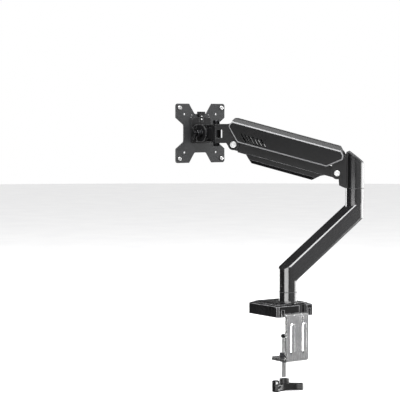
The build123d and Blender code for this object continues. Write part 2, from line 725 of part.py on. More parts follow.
def make_gas_spring():
    # the spring's own line, from its front eye towards the adjuster
    front = UPPER_LINE.from_local_coords((SPRING_PIN[0], SPRING_PIN[1], 0))
    rear = ELBOW_SIDE.from_local_coords((SPRING_EYE[0], SPRING_EYE[1], 0))
    reach = (rear - front).length
    line = Plane(origin=front, x_dir=ARM_NORMAL, z_dir=rear - front)
    with BuildPart() as gas_cylinder:
        with BuildSketch(line.offset(12.0)):
            Circle(CYLINDER_R)
        extrude(amount=CYLINDER_LEN - 12.0)
        rims = gas_cylinder.edges().filter_by(GeomType.CIRCLE)
        fillet(rims, radius=2.0)
        with BuildSketch(line.offset(16.0)):
            Circle(CYLINDER_R - 1.5)
        extrude(amount=CYLINDER_LEN - 22.0, mode=Mode.SUBTRACT)
        with BuildSketch(line.offset(CYLINDER_LEN - 10.0)):
            Circle(ROD_R + PLAY)
        extrude(amount=12.0, mode=Mode.SUBTRACT)
    keep("gas_cylinder", gas_cylinder)

    with BuildPart() as cylinder_eye:
        with BuildSketch(Plane(origin=front, x_dir=LINK_DIR, z_dir=ARM_NORMAL).offset(-5.0)):
            Circle(8.0)
        extrude(amount=10.0)
        with BuildSketch(line.offset(4.0)):
            Circle(6.0)
        extrude(amount=8.0)
        with BuildSketch(Plane(origin=front, x_dir=LINK_DIR, z_dir=ARM_NORMAL).offset(-5.0)):
            Circle(3.5 + PLAY)
        extrude(amount=10.0, mode=Mode.SUBTRACT)
    keep("cylinder_eye", cylinder_eye)

    with BuildPart() as gas_rod:
        with BuildSketch(line.offset(62.0)):
            Circle(ROD_R)
        extrude(amount=reach - 62.0 - 9.0)
        with BuildSketch(line.offset(62.0)):
            Circle(CYLINDER_R - 1.56)
        extrude(amount=6.0)
    keep("gas_rod", gas_rod)

    with BuildPart() as rod_eye:
        with BuildSketch(spot_on(ELBOW_SIDE, SPRING_EYE[0], SPRING_EYE[1], -3.5)):
            Circle(7.2)
        extrude(amount=7.0)
        with BuildSketch(line.offset(reach - 14.0)):
            Circle(5.8)
        extrude(amount=8.0)
        with BuildSketch(line.offset(reach - 14.0)):
            Circle(ROD_R + 0.02)
        extrude(amount=5.0, mode=Mode.SUBTRACT)
        with BuildSketch(spot_on(ELBOW_SIDE, SPRING_EYE[0], SPRING_EYE[1], -4.0)):
            Circle(5.2)
        extrude(amount=8.0, mode=Mode.SUBTRACT)
    keep("rod_eye", rod_eye)


# ---------------------------------------------------------------- upper arm
COVER_OUTLINE = (
    (13.8, -25.9), (191.8, -26.3), (218.6, 0.8), (210.7, 10.4),
    (-5.5, 10.4), (-11.3, 4.2), (-12.8, -5.1),
)


def make_upper_link():
    with BuildPart() as upper_link:
        for side in sides(UPPER_LINE, LINK_HALF - LINK_WALL, LINK_HALF):
            with BuildSketch(side):
                with Locations((LINK / 2, 0)):
                    SlotCenterToCenter(LINK, 18.0)
                with Locations((LINK / 2, -0.9)):
                    Rectangle(LINK - 34.0, 19.8)
                with Locations((0, 0), (LINK, 0)):
                    Circle(5.5 + 0.02, mode=Mode.SUBTRACT)
                with Locations(SPRING_PIN):
                    Circle(3.52, mode=Mode.SUBTRACT)
            extrude(amount=LINK_WALL)
        with BuildSketch(UPPER_LINE.offset(-LINK_HALF)):
            with Locations((LINK / 2 + 1, 9.0 - LINK_WALL / 2)):
                Rectangle(LINK - 18.0, LINK_WALL)
        extrude(amount=2 * LINK_HALF)
        with BuildSketch(Plane(origin=UPPER_LINE.from_local_coords((0, 9.0, 0)), x_dir=LINK_DIR,
                               z_dir=UPPER_LINE.y_dir)):
            with Locations((40.0, 0), (160.0, 0)):
                Circle(2.0)
        extrude(amount=-LINK_WALL, mode=Mode.SUBTRACT)
    keep("upper_link", upper_link)
    keep("upper_link_bushes",
         cross_bushes(UPPER_LINE, ((0, 0), (LINK, 0)), PIN_R + PLAY, 5.5, 16.2, CHEEK_IN - 0.1))
    keep("spring_front_pin",
         rod(spot_on(UPPER_LINE, SPRING_PIN[0], SPRING_PIN[1], -LINK_HALF), 3.5, 2 * LINK_HALF, edge=0.4))


def make_arm_cover():
    roof = Plane(origin=UPPER_LINE.from_local_coords((0, 10.4, 0)), x_dir=LINK_DIR, z_dir=UPPER_LINE.y_dir)
    # grooves between the slanted ribs, over the crown's top and down its sloping sides
    with BuildPart() as grooves:
        with BuildSketch(roof.offset(1.0)):
            for index in range(RIB_COUNT):
                with Locations((7.0 + index * RIB_PITCH, 0)):
                    Rectangle(1.8, 56.0, rotation=RIB_SLANT)
        extrude(amount=8.0)
        with BuildSketch(roof.offset(0.9)):
            with Locations((104.0, 0)):
                Rectangle(214.0, 47.8)
        with BuildSketch(roof.offset(6.7)):
            with Locations((105.2, 0)):
                Rectangle(206.0, 35.4)
        loft(mode=Mode.SUBTRACT)
    with BuildPart() as arm_cover:
        with BuildSketch(UPPER_LINE):
            with BuildLine():
                Polyline(*COVER_OUTLINE, close=True)
            make_face()
            nose = [v for v in vertices() if v.X > 200]
            fillet(nose, radius=7.5)
            rest = [v for v in vertices() if v.Y < -20 or v.X < 0]
            fillet(rest, radius=4.0)
        extrude(amount=COVER_OUT, both=True)
        flanks = arm_cover.faces().filter_by(Axis((0, 0, 0), ARM_NORMAL))
        chamfer(flanks.edges(), length=2.4)
        with BuildSketch(roof):
            with Locations((104.0, 0)):
                Rectangle(217.0, 51.8)
        with BuildSketch(roof.offset(7.4)):
            with Locations((105.2, 0)):
                Rectangle(207.6, 36.0)
        loft()
        crest = arm_cover.faces().sort_by(Axis(roof.origin, roof.z_dir))[-1]
        chamfer(crest.edges(), length=0.9)
        # open underneath and at both ends
        with BuildSketch(UPPER_LINE):
            with Locations((100.0, 9.1 - 30.0)):
                Rectangle(300.0, 60.0)
        extrude(amount=COVER_IN, both=True, mode=Mode.SUBTRACT)
        # hollow crown
        with BuildSketch(roof.offset(-2.0)):
            with Locations((104.0, 0)):
                Rectangle(196.0, 46.0)
        with BuildSketch(roof.offset(5.2)):
            with Locations((104.0, 0)):
                Rectangle(196.0, 32.0)
        loft(mode=Mode.SUBTRACT)
        add(grooves.part, mode=Mode.SUBTRACT)
        # slanted slots near the front of both flanks
        for side, depth in ((COVER_OUT, -3.0), (-COVER_OUT, 3.0)):
            with BuildSketch(UPPER_LINE.offset(side)):
                for index in range(6):
                    with Locations((181.6 - 7.9 * index, -15.3)):
                        SlotCenterToCenter(19.0, 2.4, rotation=45)
            extrude(amount=depth, mode=Mode.SUBTRACT)
        # posts that stand on the link under the crown
        for along in (40.0, 160.0):
            with BuildSketch(Plane(origin=UPPER_LINE.from_local_coords((along, 9.0, 0)),
                                   x_dir=LINK_DIR, z_dir=UPPER_LINE.y_dir)):
                Circle(4.5)
                Circle(1.6, mode=Mode.SUBTRACT)
            extrude(amount=6.8)
    keep("arm_cover", arm_cover)

    cover_screws = []
    for along in (40.0, 160.0):
        spot = Plane(origin=UPPER_LINE.from_local_coords((along, 9.0 - LINK_WALL, 0)), x_dir=LINK_DIR,
                     z_dir=-UPPER_LINE.y_dir)
        cover_screws.append(screw(spot, 3.2, 1.6, 1.58, 7.0, 1.3))
    keep("cover_screws", group(*cover_screws))


# ---------------------------------------------------------------- lower link
def make_lower_link():
    with BuildPart() as lower_link:
        for side in sides(LOWER_LINE, LINK_HALF - LINK_WALL, LINK_HALF):
            with BuildSketch(side):
                with Locations((LINK / 2, -1.0)):
                    Rectangle(LINK, 18.0)
                with Locations((0, 0), (LINK, 0)):
                    Circle(10.0)
                with Locations((187.5, -9.0)):
                    Rectangle(17.0, 6.0)
                with Locations((0, 0), (LINK, 0)):
                    Circle(5.5 + 0.02, mode=Mode.SUBTRACT)
            extrude(amount=LINK_WALL)
        with BuildSketch(LOWER_LINE.offset(-LINK_HALF)):
            with Locations((LINK / 2 + 1.0, -10.0 + LINK_WALL / 2)):
                Rectangle(LINK - 30.0, LINK_WALL)
        extrude(amount=2 * LINK_HALF)
        # cable slots in the channel's floor
        with BuildSketch(Plane(origin=LOWER_LINE.from_local_coords((0, -10.0, 0)), x_dir=LINK_DIR,
                               z_dir=LOWER_LINE.y_dir)):
            with Locations((28.0, 0), (184.0, 0)):
                SlotCenterToCenter(10.0, 14.0, rotation=90)
        extrude(amount=LINK_WALL, mode=Mode.SUBTRACT)
    keep("lower_link", lower_link)
    keep("lower_link_bushes",
         cross_bushes(LOWER_LINE, ((0, 0), (LINK, 0)), PIN_R + PLAY, 5.5, 16.2, CHEEK_IN - 0.1))

    with BuildPart() as cable_cover:
        with BuildSketch(LOWER_LINE):
            with BuildLine():
                Polyline(
                    (22.0, -10.05), (31.3, -14.1), (44.4, -25.8), (165.0, -25.8), (178.6, -12.4),
                    (178.6, -10.05), close=True,
                )
            make_face()
        extrude(amount=LINK_HALF, both=True)
        belly = cable_cover.faces().sort_by(Axis((0, 0, 0), LOWER_LINE.y_dir))[0]
        long_edges = belly.edges().filter_by(Axis((0, 0, 0), LINK_DIR))
        chamfer(long_edges, length=6.3)
        with BuildSketch(LOWER_LINE):
            with BuildLine():
                Polyline((26.0, -10.0), (46.0, -23.8), (164.0, -23.8), (176.0, -10.0), close=True)
            make_face()
        extrude(amount=LINK_HALF - 7.5, both=True, mode=Mode.SUBTRACT)
        # way in for cables at the elbow end
        with BuildSketch(LOWER_LINE):
            with Locations((30.0, -18.0)):
                Rectangle(24.0, 16.0)
        extrude(amount=7.0, both=True, mode=Mode.SUBTRACT)
    keep("cable_cover", cable_cover)


# ---------------------------------------------------------------- front bracket
def make_front_bracket():
    lower_z = FRONT_Z - PIVOT_DROP
    pan_t = FRONT_T + PAN_OFFSET
    with BuildPart() as front_bracket:
        for side in sides(ELBOW_SIDE, CHEEK_IN, CHEEK_OUT):
            with BuildSketch(side):
                with BuildLine():
                    Polyline(
                        (FRONT_T, FRONT_Z + 8.0), (FRONT_T + 12, BRACKET_TOP), (FRONT_T + 35, BRACKET_TOP),
                        (FRONT_T + 35, BRACKET_BOTTOM), (FRONT_T + 14, BRACKET_BOTTOM),
                        (FRONT_T + 6, lower_z - 9.0), (FRONT_T - 10, lower_z), (FRONT_T - 8, FRONT_Z),
                        close=True,
                    )
                make_face()
                with Locations((FRONT_T, FRONT_Z)):
                    Circle(8.0)
                with Locations((FRONT_T, lower_z)):
                    Circle(10.5)
                with Locations((FRONT_T, FRONT_Z), (FRONT_T, lower_z)):
                    Circle(PIN_R + 0.02, mode=Mode.SUBTRACT)
                with Locations((FRONT_T + 27.5, HEAD_Z - 0.6)):
                    RectangleRounded(11.5, 16.0, 1.5, mode=Mode.SUBTRACT)
            extrude(amount=CHEEK_OUT - CHEEK_IN)
        for low in (BRACKET_BOTTOM, BRACKET_TOP - FLANGE_T):
            with BuildSketch(Plane(origin=arm_point(0, low), x_dir=(UX, UY, 0), z_dir=(0, 0, 1))):
                with BuildLine():
                    Polyline(
                        (FRONT_T + 19, -CHEEK_OUT), (FRONT_T + 33, -CHEEK_OUT), (pan_t + 7.5, -7.0),
                        (pan_t + 7.5, 7.0), (FRONT_T + 33, CHEEK_OUT), (FRONT_T + 19, CHEEK_OUT), close=True,
                    )
                make_face()
                with Locations((pan_t, 0)):
                    Circle(10.0)
                    Circle(PIN_R + 0.02, mode=Mode.SUBTRACT)
            extrude(amount=FLANGE_T)
    keep("front_bracket", front_bracket)
    upper_bolt = cross_bolt(ELBOW_SIDE, FRONT_T, FRONT_Z, PIN_R, CHEEK_OUT, 6.4, HEAD_T)
    lower_bolt = cross_bolt(ELBOW_SIDE, FRONT_T, lower_z, PIN_R, CHEEK_OUT, 6.4, HEAD_T)
    keep("front_bolts", group(upper_bolt, lower_bolt))

    with BuildPart() as pan_bolt:
        with BuildSketch(Plane(origin=(PAN_X, PAN_Y, BRACKET_BOTTOM - 6.6))):
            Circle(PIN_R)
        extrude(amount=BRACKET_TOP - BRACKET_BOTTOM + 6.6)
        with BuildSketch(Plane(origin=(PAN_X, PAN_Y, BRACKET_TOP))):
            Circle(6.6)
        extrude(amount=7.0)
        crown = pan_bolt.faces().sort_by(Axis.Z)[-1]
        fillet(crown.edges(), radius=1.2)
        with BuildSketch(Plane(origin=(PAN_X, PAN_Y, BRACKET_TOP + 3.0))):
            RegularPolygon(3.4, 6)
        extrude(amount=5.0, mode=Mode.SUBTRACT)
    keep("pan_bolt", pan_bolt)
    nut_foot = Plane(origin=(PAN_X, PAN_Y, BRACKET_BOTTOM - 6.0))
    keep("pan_nut", hex_nut(nut_foot, 12.4, 6.0, PIN_R + 0.01))


# ---------------------------------------------------------------- head
def make_pan_head():
    foot = BRACKET_BOTTOM + FLANGE_T + 0.2
    top = BRACKET_TOP - FLANGE_T - 0.2
    with BuildPart() as pan_head:
        with BuildSketch(Plane(origin=(PAN_X, PAN_Y, foot))):
            Circle(9.0)
        extrude(amount=top - foot)
        with BuildSketch(HEAD_SIDE.offset(-6.0)):
            with BuildLine():
                Polyline(
                    (PAN_Y, HEAD_Z - 11.0), (PAN_Y + 12.0, HEAD_Z - 11.0), (TILT_Y, HEAD_Z - 9.9),
                    (TILT_Y, HEAD_Z + 9.9), (PAN_Y + 12.0, HEAD_Z + 11.0), (PAN_Y, HEAD_Z + 11.0), close=True,
                )
            make_face()
        extrude(amount=12.0)
        with BuildSketch(spot_on(HEAD_SIDE, TILT_Y, HEAD_Z, -10.4)):
            Circle(10.0)
        extrude(amount=20.8)
        with BuildSketch(spot_on(HEAD_SIDE, TILT_Y, HEAD_Z, -10.4)):
            Circle(3.5 + PLAY)
        extrude(amount=20.8, mode=Mode.SUBTRACT)
        with BuildSketch(Plane(origin=(PAN_X, PAN_Y, foot))):
            Circle(5.5 + 0.02)
        extrude(amount=top - foot, mode=Mode.SUBTRACT)
    keep("pan_head", pan_head)
    lower_bush = rod(Plane(origin=(PAN_X, PAN_Y, foot)), 5.5, 9.0, bore=PIN_R + PLAY)
    upper_bush = rod(Plane(origin=(PAN_X, PAN_Y, top - 9.0)), 5.5, 9.0, bore=PIN_R + PLAY)
    keep("pan_bushes", group(lower_bush, upper_bush))


def make_tilt_head():
    base_face = PLATE_Y - 6.0
    with BuildPart() as tilt_bracket:
        with BuildSketch(PLATE_FACE.offset(-9.0)):
            RectangleRounded(47.0, 34.0, 12.0)
            Circle(5.04, mode=Mode.SUBTRACT)
        extrude(amount=3.0)
        for side in sides(HEAD_SIDE, 11.0, 13.8):
            with BuildSketch(side):
                with BuildLine():
                    Polyline(
                        (base_face, HEAD_Z - 16.0), (base_face, HEAD_Z + 16.0), (TILT_Y, HEAD_Z + 16.0),
                        (TILT_Y, HEAD_Z - 16.0), close=True,
                    )
                make_face()
                with Locations((TILT_Y, HEAD_Z)):
                    Circle(16.4)
                    Circle(3.52, mode=Mode.SUBTRACT)
            extrude(amount=2.8)
        # folded edge on the left of the base
        with BuildSketch(PLATE_FACE.offset(-14.0)):
            with Locations((23.5 - 1.2, 0)):
                Rectangle(2.4, 20.0)
        extrude(amount=6.0)
    keep("tilt_bracket", tilt_bracket)

    with BuildPart() as tilt_bolt:
        with BuildSketch(spot_on(HEAD_SIDE, TILT_Y, HEAD_Z, -30.0)):
            Circle(3.5)
        extrude(amount=43.8)
        with BuildSketch(spot_on(HEAD_SIDE, TILT_Y, HEAD_Z, 13.8)):
            Circle(6.6)
        extrude(amount=5.0)
        crown = tilt_bolt.faces().sort_by(Axis.X)[-1]
        fillet(crown.edges(), radius=1.2)
        with BuildSketch(spot_on(HEAD_SIDE, TILT_Y, HEAD_Z, 16.0)):
            RegularPolygon(3.0, 6)
        extrude(amount=4.0, mode=Mode.SUBTRACT)
    keep("tilt_bolt", tilt_bolt)
    washer_a = rod(spot_on(HEAD_SIDE, TILT_Y, HEAD_Z, -15.4), 7.6, 1.5, bore=3.52)
    washer_b = rod(spot_on(HEAD_SIDE, TILT_Y, HEAD_Z, -17.6), 6.4, 2.1, bore=3.52)
    keep("tilt_washers", group(washer_a, washer_b))
    keep("tilt_nut", hex_nut(spot_on(HEAD_SIDE, TILT_Y, HEAD_Z, -24.4), 12.2, 6.7, 3.51))


def make_screen_plate():
    with BuildPart() as vesa_plate:
        with BuildSketch(PLATE_FACE.offset(-PLATE_T)):
            with BuildLine():
                Polyline(
                    (58, 58), (58, 30.5), (39.6, 16.5), (39.6, -16.5), (58, -30.5), (58, -58),
                    (27, -58), (14, -38), (-14, -38), (-27, -58), (-58, -58), (-58, -30.5),
                    (-39.6, -16.5), (-39.6, 16.5), (-58, 30.5), (-58, 58), (-27, 58), (-14, 38),
                    (14, 38), (27, 58), close=True,
                )
            make_face()
            outer = [v for v in vertices() if abs(v.X) > 57 and abs(v.Y) > 57]
            fillet(outer, radius=5.0)
            inner = [v for v in vertices() if abs(v.X) < 41 and abs(v.Y) < 39 and abs(v.X) > 13]
            fillet(inner, radius=4.0)
            with GridLocations(75, 75, 2, 2):
                Circle(2.3, mode=Mode.SUBTRACT)
            with GridLocations(100, 100, 2, 2):
                Circle(2.42, mode=Mode.SUBTRACT)
            with Locations((-20, 36), (-21.5, 31), (20, 36), (21.5, 31)):
                Circle(1.3, mode=Mode.SUBTRACT)
            Circle(7.0, mode=Mode.SUBTRACT)
        extrude(amount=PLATE_T)
    keep("vesa_plate", vesa_plate)

    with BuildPart() as release_plate:
        with BuildSketch(PLATE_FACE.offset(-5.8)):
            with Locations((0, 5.5)):
                RectangleRounded(46.0, 51.0, 7.0)
            Circle(5.0 + PLAY, mode=Mode.SUBTRACT)
            with Locations((0, 28.0)):
                Rectangle(9.4, 12.0, mode=Mode.SUBTRACT)
        extrude(amount=3.2)
    keep("release_plate", release_plate)

    with BuildPart() as release_tab:
        with BuildSketch(PLATE_FACE.offset(-5.8)):
            with Locations((0, 30.6)):
                RectangleRounded(9.0, 16.0, 1.0)
            with Locations((0, 39.6)):
                RectangleRounded(17.0, 5.6, 1.2)
            with Locations((0, 27.2), (0, 33.6)):
                Circle(1.5, mode=Mode.SUBTRACT)
        extrude(amount=3.2)
        # thumb ridges along the tab's top edge
        with BuildSketch(PLATE_FACE.offset(-5.8)):
            with Locations((-6.0, 39.6), (-2.0, 39.6), (2.0, 39.6), (6.0, 39.6)):
                RectangleRounded(2.4, 5.4, 0.8)
        extrude(amount=-2.6)
    keep("release_tab", release_tab)

    studs = []
    for x in (-50.0, 50.0):
        for y in (-50.0, 50.0):
            seat = Plane(origin=PLATE_FACE.from_local_coords((x, y, -PLATE_T)), x_dir=(1, 0, 0),
                         z_dir=(0, -1, 0))
            studs.append(screw(seat, 4.0, 2.4, 2.0, 9.0, 1.6, neck=PLATE_T))
    keep("vesa_screws", group(*studs))

    # the rivet the plate turns on, headed over at both ends
    with BuildPart() as rotation_rivet:
        with BuildSketch(PLATE_FACE.offset(-11.0)):
            Circle(8.0)
        extrude(amount=2.0)
        with BuildSketch(PLATE_FACE.offset(-9.0)):
            Circle(5.0)
        extrude(amount=6.6)
        with BuildSketch(PLATE_FACE.offset(-2.5)):
            Circle(6.6)
        extrude(amount=1.6)
    keep("rotation_rivet", rotation_rivet)

    release_screws = []
    for y in (27.2, 33.6):
        seat = Plane(origin=PLATE_FACE.from_local_coords((0, y, -5.8)), x_dir=(1, 0, 0), z_dir=(0, -1, 0))
        release_screws.append(screw(seat, 1.8, 1.4, 1.48, 3.1, 0.8))
    keep("release_screws", group(*release_screws))


make_base_pad()
make_base_cover()
make_clamp_bracket()
make_base_fasteners()
make_cable_clip()
make_post()
make_clamp_screw()
make_lower_arm()
make_elbow()
make_tension()
make_gas_spring()
make_upper_link()
make_arm_cover()
make_lower_link()
make_front_bracket()
make_pan_head()
make_tilt_head()
make_screen_plate()

os.makedirs("parts", exist_ok=True)
for name, piece in pieces.items():
    export_step(piece.part, f"parts/{name}.step")
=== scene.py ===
import json
import math

import bmesh
import bpy
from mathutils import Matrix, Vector


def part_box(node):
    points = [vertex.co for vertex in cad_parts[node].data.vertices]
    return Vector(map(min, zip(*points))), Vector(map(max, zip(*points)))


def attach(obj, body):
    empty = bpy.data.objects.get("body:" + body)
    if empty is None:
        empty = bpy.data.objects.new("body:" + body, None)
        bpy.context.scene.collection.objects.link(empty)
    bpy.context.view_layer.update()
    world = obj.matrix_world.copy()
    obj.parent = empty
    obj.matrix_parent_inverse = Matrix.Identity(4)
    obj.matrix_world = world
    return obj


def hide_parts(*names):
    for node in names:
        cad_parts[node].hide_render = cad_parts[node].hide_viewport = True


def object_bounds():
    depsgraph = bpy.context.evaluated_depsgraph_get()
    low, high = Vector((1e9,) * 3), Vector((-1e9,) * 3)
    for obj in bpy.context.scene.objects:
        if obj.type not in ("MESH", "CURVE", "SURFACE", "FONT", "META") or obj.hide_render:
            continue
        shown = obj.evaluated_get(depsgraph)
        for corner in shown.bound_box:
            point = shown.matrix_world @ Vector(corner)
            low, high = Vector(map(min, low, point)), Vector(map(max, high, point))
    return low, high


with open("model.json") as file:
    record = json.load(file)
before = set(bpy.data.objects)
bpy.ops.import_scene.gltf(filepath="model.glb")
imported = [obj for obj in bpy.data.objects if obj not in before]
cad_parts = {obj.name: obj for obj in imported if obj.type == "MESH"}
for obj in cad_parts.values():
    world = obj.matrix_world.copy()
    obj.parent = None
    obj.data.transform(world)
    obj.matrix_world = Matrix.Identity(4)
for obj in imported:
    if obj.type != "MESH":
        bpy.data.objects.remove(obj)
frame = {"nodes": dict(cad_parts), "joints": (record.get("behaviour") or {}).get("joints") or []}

cad_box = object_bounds()
scene = bpy.context.scene
scene.view_settings.view_transform = "Standard"
scene.view_settings.look = "None"
NODES = frame["nodes"]


# ---------------------------------------------------------------- camera
CAMERA_PLACE = (-1.749, -2.256, 0.367)
VIEW_YAW = 34.5          # degrees to the right of +Y
VIEW_PITCH = 3.05        # degrees down
SENSOR = 36.0            # mm
LENS = 138.6             # mm
cam_data = bpy.data.cameras.new("camera")
cam_data.sensor_width = SENSOR
cam_data.lens = LENS
cam_data.clip_end = 60.0
camera = bpy.data.objects.new("camera", cam_data)
camera.location = CAMERA_PLACE
camera.rotation_euler = (math.radians(90 - VIEW_PITCH), 0.0, -math.radians(VIEW_YAW))
scene.collection.objects.link(camera)
scene.camera = camera

AHEAD = Vector((math.sin(math.radians(VIEW_YAW)), math.cos(math.radians(VIEW_YAW)), 0.0))
RIGHT = Vector((AHEAD.y, -AHEAD.x, 0.0))
CENTRE = Vector((0.07, 0.08, 0.2))      # what the lights are set round


# ---------------------------------------------------------------- light
def softbox(name, turn, distance, height, width, tall, power, level=False):
    """An area light that stands turn degrees round from the camera's side, to the right when positive.

    It points at the centre, or straight across the scene when level.
    """
    angle = math.radians(turn)
    away = -AHEAD * math.cos(angle) + RIGHT * math.sin(angle)
    place = Vector((CENTRE.x, CENTRE.y, 0.0)) + away * distance + Vector((0, 0, height))
    data = bpy.data.lights.new(name, "AREA")
    data.shape = "RECTANGLE"
    data.size = width
    data.size_y = tall
    data.energy = power
    light = bpy.data.objects.new(name, data)
    light.location = place
    aim = Vector((CENTRE.x, CENTRE.y, place.z)) if level else CENTRE
    light.rotation_euler = (aim - place).to_track_quat("-Z", "Y").to_euler()
    light.visible_camera = False
    scene.collection.objects.link(light)


softbox("low_panel", turn=-22, distance=2.0, height=-0.16, width=1.7, tall=0.5, power=22, level=True)
softbox("right_wall", turn=112, distance=2.0, height=0.15, width=2.1, tall=1.3, power=60, level=True)
softbox("left_panel", turn=-139, distance=2.0, height=0.05, width=0.9, tall=1.2, power=26, level=True)
softbox("top_panel", turn=-10, distance=0.7, height=2.1, width=1.7, tall=1.7, power=110)

GLOSS_LEFT = 0.05        # what gloss sees of the surroundings, from the left
GLOSS_RIGHT = 0.6        # and from the right
WHITE = (1.0, 1.0, 1.0, 1.0)


def build_world():
    """White surroundings. What gloss reflects of them is dim, and paler on the right."""
    world = bpy.data.worlds.new("studio")
    world.use_nodes = True
    tree = world.node_tree
    tree.nodes.clear()
    out = tree.nodes.new("ShaderNodeOutputWorld")
    coord = tree.nodes.new("ShaderNodeTexCoord")
    side = tree.nodes.new("ShaderNodeVectorMath")
    side.operation = "DOT_PRODUCT"
    side.inputs[1].default_value = RIGHT
    ramp = tree.nodes.new("ShaderNodeMapRange")
    ramp.interpolation_type = "SMOOTHSTEP"
    ramp.inputs["From Min"].default_value = -0.1
    ramp.inputs["From Max"].default_value = 0.5
    ramp.inputs["To Min"].default_value = GLOSS_LEFT
    ramp.inputs["To Max"].default_value = GLOSS_RIGHT
    tree.links.new(coord.outputs["Generated"], side.inputs[0])
    tree.links.new(side.outputs["Value"], ramp.inputs["Value"])
    dim = tree.nodes.new("ShaderNodeBackground")
    dim.inputs["Color"].default_value = WHITE
    tree.links.new(ramp.outputs["Result"], dim.inputs["Strength"])
    white = tree.nodes.new("ShaderNodeBackground")
    white.inputs["Color"].default_value = WHITE
    path = tree.nodes.new("ShaderNodeLightPath")
    pick = tree.nodes.new("ShaderNodeMixShader")
    tree.links.new(path.outputs["Is Glossy Ray"], pick.inputs[0])
    tree.links.new(white.outputs[0], pick.inputs[1])
    tree.links.new(dim.outputs[0], pick.inputs[2])
    tree.links.new(pick.outputs[0], out.inputs[0])
    scene.world = world


build_world()


# ---------------------------------------------------------------- materials
class Shader:
    """A small helper that builds one procedural material on a Principled shader."""

    def __init__(self, name):
        self.mat = bpy.data.materials.new(name)
        self.mat.use_nodes = True
        self.tree = self.mat.node_tree
        self.bsdf = self.tree.nodes["Principled BSDF"]
        self.coord = self.new("ShaderNodeTexCoord").outputs["Object"]

    def new(self, kind, **settings):
        node = self.tree.nodes.new(kind)
        for key, value in settings.items():
            setattr(node, key, value)
        return node

    def link(self, source, target):
        self.tree.links.new(source, target)

    def noise(self, scale, detail=3.0, stretch=(1, 1, 1), roughness=0.55, turn=0.0):
        """Noise of about scale cells per metre, stretched along an axis and turned about Z."""
        mapping = self.new("ShaderNodeMapping")
        mapping.inputs["Scale"].default_value = stretch
        mapping.inputs["Rotation"].default_value = (0, 0, turn)
        self.link(self.coord, mapping.inputs["Vector"])
        noise = self.new("ShaderNodeTexNoise")
        noise.inputs["Scale"].default_value = scale
        noise.inputs["Detail"].default_value = detail
        noise.inputs["Roughness"].default_value = roughness
        self.link(mapping.outputs["Vector"], noise.inputs["Vector"])
        return noise.outputs["Fac"]

    def ramp(self, source, low, high, to_low=0.0, to_high=1.0):
        node = self.new("ShaderNodeMapRange")
        node.inputs["From Min"].default_value = low
        node.inputs["From Max"].default_value = high
        node.inputs["To Min"].default_value = to_low
        node.inputs["To Max"].default_value = to_high
        self.link(source, node.inputs["Value"])
        return node.outputs["Result"]

    def math(self, kind, a, b):
        node = self.new("ShaderNodeMath", operation=kind)
        for socket, value in zip(node.inputs, (a, b)):
            if isinstance(value, (int, float)):
                socket.default_value = value
            else:
                self.link(value, socket)
        return node.outputs[0]

    def mix(self, factor, a, b):
        node = self.new("ShaderNodeMix", data_type="RGBA")
        self.link(factor, node.inputs[0])
        for socket, value in ((node.inputs[6], a), (node.inputs[7], b)):
            if isinstance(value, tuple):
                socket.default_value = (*value, 1.0)
            else:
                self.link(value, socket)
        return node.outputs[2]

    def edges(self, radius, soft):
        """A mask that is 1 along sharp edges, and the rounded normal that goes with it."""
        bevel = self.new("ShaderNodeBevel", samples=6)
        bevel.inputs["Radius"].default_value = radius
        flat = self.new("ShaderNodeNewGeometry")
        dot = self.new("ShaderNodeVectorMath", operation="DOT_PRODUCT")
        self.link(bevel.outputs["Normal"], dot.inputs[0])
        self.link(flat.outputs["Normal"], dot.inputs[1])
        return self.ramp(dot.outputs["Value"], 1.0 - soft, 0.995, 1.0, 0.0), bevel.outputs["Normal"]

    def facing(self):
        """The surface's direction in the object's own axes."""
        return self.new("ShaderNodeTexCoord").outputs["Normal"]

    def dot(self, source, direction):
        """How far a vector points along a direction."""
        node = self.new("ShaderNodeVectorMath", operation="DOT_PRODUCT")
        node.inputs[1].default_value = direction
        self.link(source, node.inputs[0])
        return node.outputs["Value"]

    def painted_bevel_faces(self, across, up, top):
        """A mask for a painted highlight line: 1 on faces half turned away from a direction, below a height
        along another.
        """
        tilt = self.math("ABSOLUTE", self.dot(self.facing(), across), 0.0)
        band = self.math("MULTIPLY", self.ramp(tilt, 0.50, 0.58), self.ramp(tilt, 0.84, 0.92, 1.0, 0.0))
        return self.math("MULTIPLY", band, self.ramp(self.dot(self.coord, up), top - 0.0002, top, 1.0, 0.0))

    def bumps(self, layers, normal=None):
        """Stacks (height, strength, distance) bump layers on a normal."""
        for height, strength, distance in layers:
            bump = self.new("ShaderNodeBump")
            bump.inputs["Strength"].default_value = strength
            bump.inputs["Distance"].default_value = distance
            self.link(height, bump.inputs["Height"])
            if normal is not None:
                self.link(normal, bump.inputs["Normal"])
            normal = bump.outputs["Normal"]
        self.link(normal, self.bsdf.inputs["Normal"])


